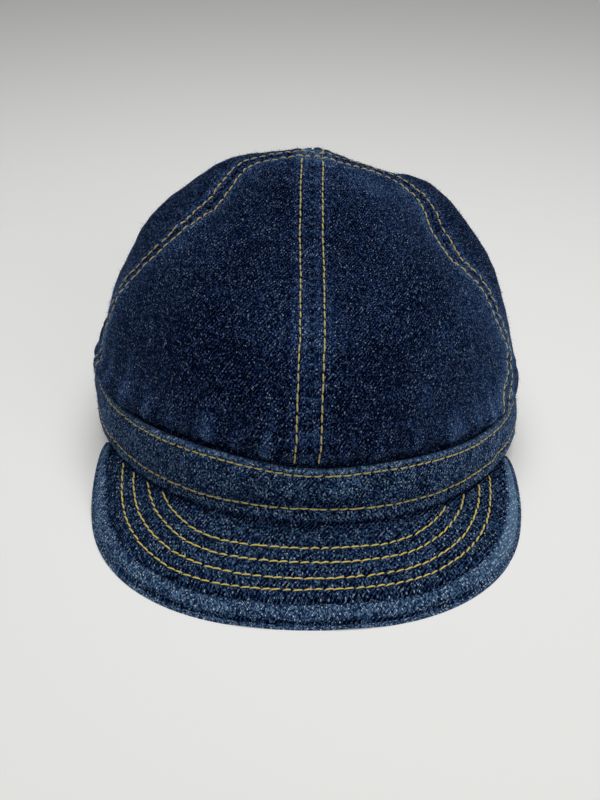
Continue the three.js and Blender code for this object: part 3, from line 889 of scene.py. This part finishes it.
def sewRow(store, trees, path, normals, look):
    run = lengths(path)
    count = int((run[-1] - look.get("skip", 0)) / look["pitch"])
    rng = np.random.default_rng(look["seed"])
    for k in range(count):
        center = look.get("skip", 0) + (k + 0.5) * look["pitch"] + rng.normal() * 0.05 * look["pitch"]
        half = 0.5 * look["share"] * look["pitch"] * (1 + 0.06 * rng.normal())
        side = 0.07 * rng.normal()
        marks = []
        for place in (center - half, center, center + half):
            at = np.array([np.interp(place, run, path[:, axis]) for axis in range(3)])
            up = np.array([np.interp(place, run, normals[:, axis]) for axis in range(3)])
            up /= np.linalg.norm(up)
            marks.append((drop(trees, at, up), up))
        if any(mark[0] is None for mark in marks):
            continue
        (first, _), (middle, up), (last, _) = marks
        ahead = last - first
        length = np.linalg.norm(ahead)
        if length > 1.6 * look["share"] * look["pitch"]:
            continue
        ahead /= length
        across = np.cross(up, ahead)
        across /= np.linalg.norm(across)
        up = np.cross(ahead, across)
        lean = math.tan(math.radians(look["slant"] + 2.5 * rng.normal())) * length / 2
        mid = (first + last) / 2
        crest = max(0.0, float((middle - mid) @ up))
        base = len(store["points"])
        for ring in range(stitchRings):
            a = -1 + 2 * ring / (stitchRings - 1)
            thick = look["radius"] * math.sqrt(max(0.12, 1 - abs(a) ** 3.2))
            lift = (crest + look["rise"]) * (1 - a * a) - look["sink"] * abs(a) ** 3
            core = mid + ahead * (a * length / 2) + across * (side + a * lean) + up * lift
            for edge in range(stitchSides):
                turn = 2 * math.pi * edge / stitchSides
                around = across * thick * math.cos(turn) + up * thick * 0.85 * math.sin(turn)
                store["points"].append(core + around)
                store["uv"].append((a * length / 2 + 11.7 * k, edge / stitchSides))
        for ring in range(stitchRings - 1):
            for edge in range(stitchSides):
                a = base + ring * stitchSides + edge
                b = base + ring * stitchSides + (edge + 1) % stitchSides
                store["faces"].append((a, b, b + stitchSides, a + stitchSides))
        tail = base + (stitchRings - 1) * stitchSides
        store["faces"].append(tuple(base + edge for edge in reversed(range(stitchSides))))
        store["faces"].append(tuple(tail + edge for edge in range(stitchSides)))


def threadPiece(name, store, material):
    mesh = newMesh(name, np.array(store["points"]), store["faces"], "twist", np.array(store["uv"]))
    smoothAll(mesh)
    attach(newPiece(name, mesh, material), "root")
    print(name, len(store["faces"]) // (stitchSides * (stitchRings - 1) + 2), "stitches")


def seamPath(name):  # points and outward directions along a seam, above the band
    if name == "cross":
        right, left = seamPath("right"), seamPath("left")
        return [np.concatenate([r, l[::-1]]) for r, l in zip(right, left)]
    level = np.linspace(0.104, 0.998, 240)
    angle = seamAngle(name, level)
    return crownFace(angle, level), outward(angle, level)


crownTrees = [treeOf(piece) for piece in crown]
stitch = dict(pitch=3.65, share=0.95, radius=0.33, rise=0.18, sink=0.16, slant=2.0)
for name in seams:
    points, normals = seamPath(name)
    tangent = np.gradient(points, axis=0)
    lateral = np.cross(normals, tangent)
    lateral /= np.linalg.norm(lateral, axis=1, keepdims=True)
    store = dict(points=[], uv=[], faces=[])
    for side in (-1, 1):
        path = points + side * seams[name]["rows"] * lateral
        keep = np.ones(len(path), bool)
        if name != "cross":
            keep = nearLine(points, crossLine)[0] > 3.6
        sewRow(store, crownTrees, path[keep], normals[keep], dict(stitch, seed=60 + side + len(name) * 7))
    threadPiece("thread_" + name + "_seam", store, crownThread)

bandTree = [treeOf(band)]
store = dict(points=[], uv=[], faces=[])
turnRound = np.linspace(-math.pi, math.pi, 700)
tallAround = bandTall(turnRound)
for share in (lowRow(turnRound) / tallAround, 1 - bandRows["high"] / tallAround):
    path, normals = smoothFace(turnRound, share * bandTop), outward(turnRound, share * bandTop)
    sewRow(store, bandTree, path, normals, dict(stitch, seed=int(100 * share[350])))
threadPiece("thread_band", store, bandThread)

visorTree = [treeOf(visorTop)]
visorStitch = dict(stitch, pitch=3.7, share=1.0, slant=7, radius=0.34, sink=0.08)
store = dict(points=[], uv=[], faces=[])
visorTurn = np.radians(np.linspace(-visor["end"], visor["end"], 500))
for number, row in enumerate(visorRows):
    reach = outlineReach(visorTurn) - rowDistance(row, visorTurn)
    seen = reach > ringReach(visorTurn) - 0.6
    path = visorMiddle(visorTurn[seen], reach[seen]) + np.array([0, 0, visor["padding"]])
    normals = np.tile([0.0, 0.0, 1.0], (len(path), 1))
    sewRow(store, visorTree, path, normals, dict(visorStitch, seed=80 + number))
threadPiece("thread_visor", store, visorThread)


def fuzzMaterial(name, look):
    # Loose dyed cotton: thin blue hairs that soften the cap's outline.
    material, tree, shader = newMaterial(name)
    place = addNode(tree, "ShaderNodeTexCoord").outputs["Object"]
    tint = noiseAt(tree, place, look["patches"], 2.0)
    color = blend(tree, tint, linear(look["dark"]), linear(look["light"]))
    tree.links.new(color, shader.inputs["Base Color"])
    shader.inputs["Roughness"].default_value = 0.8
    shader.inputs["IOR"].default_value = 1.45
    shader.inputs["Specular IOR Level"].default_value = 0.1
    return material


# Raised fibres, as slim closed spikes: how many stand on each piece, their radius at the root and
# their lengths in mm. They are drawn several times as thick as real fibres, so that they show.
fuzz = dict(crown=6800, band=6500, visor=8500, thick=0.075, shortest=0.3, usual=0.7, longest=4.0, seed=17)
fibre = fuzzMaterial("cotton fibres, raised by washing", dict(patches=120.0, dark="#33548c", light="#7b9cc9"))


def raiseFuzz(piece, count, rng):
    mesh = piece.data
    size = len(mesh.polygons)
    center, normal, area = np.empty(size * 3), np.empty(size * 3), np.empty(size)
    mesh.polygons.foreach_get("center", center)
    mesh.polygons.foreach_get("normal", normal)
    mesh.polygons.foreach_get("area", area)
    center, normal = center.reshape(-1, 3) / mm, normal.reshape(-1, 3)
    middle = headShift + np.array([0, 0, 20.0])
    outside = ((center - middle) * normal).sum(1) > 0
    chosen = rng.choice(size, count, p=area * outside / (area * outside).sum())
    root, up = center[chosen], normal[chosen]
    aside = np.cross(up, rng.normal(size=(count, 3)))
    aside /= np.linalg.norm(aside, axis=1, keepdims=True)
    other = np.cross(up, aside)
    length = fuzz["usual"] * np.exp(rng.normal(size=(count, 1)) * 0.6)
    length = np.clip(length, fuzz["shortest"], fuzz["longest"])
    lean = rng.uniform(0.2, 2.2, (count, 1))
    heading = up + aside * lean
    heading /= np.linalg.norm(heading, axis=1, keepdims=True)
    root = root + (aside * rng.uniform(-1, 1, (count, 1)) + other * rng.uniform(-1, 1, (count, 1))) * 0.4
    corners = (0, 2.094, 4.189)  # a third of a turn apart, in radians
    base = [root + fuzz["thick"] * (aside * math.cos(a) + other * math.sin(a)) for a in corners]
    return np.stack(base + [root + heading * length], 1)


rng = np.random.default_rng(fuzz["seed"])
spikes = [raiseFuzz(piece, fuzz["crown"], rng) for piece in crown]
spikes += [raiseFuzz(band, fuzz["band"], rng), raiseFuzz(visorTop, fuzz["visor"], rng)]
spikes = np.concatenate(spikes)
spikes[..., 2] = np.maximum(spikes[..., 2], 0)
first = np.arange(len(spikes))[:, None, None] * 4
spikeFaces = (first + np.array([[0, 2, 1], [0, 1, 3], [1, 2, 3], [2, 0, 3]])[None]).reshape(-1, 3)
fuzzMesh = bpy.data.meshes.new("raised_fibres")
fuzzMesh.from_pydata((spikes.reshape(-1, 3) * mm).tolist(), [], spikeFaces.tolist())
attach(newPiece("raised_fibres", fuzzMesh, fibre), "root")
print("raised", len(spikes), "fibres")


# The table, the camera and the light.
def plainMaterial(name, color, roughness, glow):  # opal acrylic of a light table, lit a little from below
    material, tree, shader = newMaterial(name)
    shader.inputs["Base Color"].default_value = linear(color)
    shader.inputs["Roughness"].default_value = roughness
    shader.inputs["Specular IOR Level"].default_value = 0.2
    shader.inputs["Emission Color"].default_value = (1.0, 1.0, 0.99, 1.0)
    shader.inputs["Emission Strength"].default_value = glow
    return material


room = dict(floorReach=9.0, sky=0.075, glow=0.22)
floorMesh = bpy.data.meshes.new("floor")
reach = room["floorReach"]
floorCorners = [(-reach, -reach, 0), (reach, -reach, 0), (reach, reach, 0), (-reach, reach, 0)]
floorMesh.from_pydata(floorCorners, [], [(0, 1, 2, 3)])
acrylic = plainMaterial("light table, opal acrylic", "#e9e9e7", 0.7, room["glow"])
newPiece("floor", floorMesh, acrylic)

lamps = [
    dict(name="softbox overhead", place=(0.01, 0.04, 1.15), size=(0.85, 0.75), spread=82, power=2.1),
    dict(name="softbox front right", place=(0.6, -0.95, 0.6), size=(0.9, 0.6), spread=120, power=1.6),
]
for look in lamps:
    lampData = bpy.data.lights.new(look["name"], "AREA")
    lampData.shape = "RECTANGLE"
    lampData.size, lampData.size_y = look["size"]
    lampData.energy = look["power"]
    lampData.spread = math.radians(look["spread"])
    lampData.color = (1.0, 0.995, 0.985)
    lamp = bpy.data.objects.new(look["name"], lampData)
    lamp.location = look["place"]
    if look["place"][1] < 0:
        lamp.rotation_euler = (Vector((0, 0, 0.04)) - lamp.location).to_track_quat("-Z", "Y").to_euler()
    bpy.context.scene.collection.objects.link(lamp)

world = bpy.data.worlds.new("pale studio")
world.use_nodes = True
backdrop = world.node_tree.nodes["Background"]
backdrop.inputs["Color"].default_value = (0.97, 0.985, 1.0, 1.0)
backdrop.inputs["Strength"].default_value = room["sky"]
bpy.context.scene.world = world

# Seen from above the front, on a camera turned a touch about its own axis.
shot = dict(target=(-3.1, -22, 20.7), elevation=31.0, away=510.0, lens=54.0, roll=0.8)
elevation, roll = math.radians(shot["elevation"]), math.radians(shot["roll"])
target = Vector(((np.array(shot["target"]) + headShift) * mm).tolist())
back = Vector((0, -math.cos(elevation), math.sin(elevation)))
right = Vector((1, 0, 0))
up = back.cross(right)
rightTurned = right * math.cos(roll) + up * math.sin(roll)
upTurned = up * math.cos(roll) - right * math.sin(roll)
cameraData = bpy.data.cameras.new("camera")
cameraData.lens = shot["lens"]
cameraData.sensor_width = 36.0
cameraData.clip_start, cameraData.clip_end = 0.02, 60.0
camera = bpy.data.objects.new("camera", cameraData)
turned = Matrix((rightTurned, upTurned, back)).transposed().to_4x4()
camera.matrix_world = Matrix.Translation(target + back * shot["away"] * mm) @ turned
bpy.context.scene.collection.objects.link(camera)
bpy.context.scene.camera = camera
bpy.context.scene.view_settings.view_transform = "Standard"
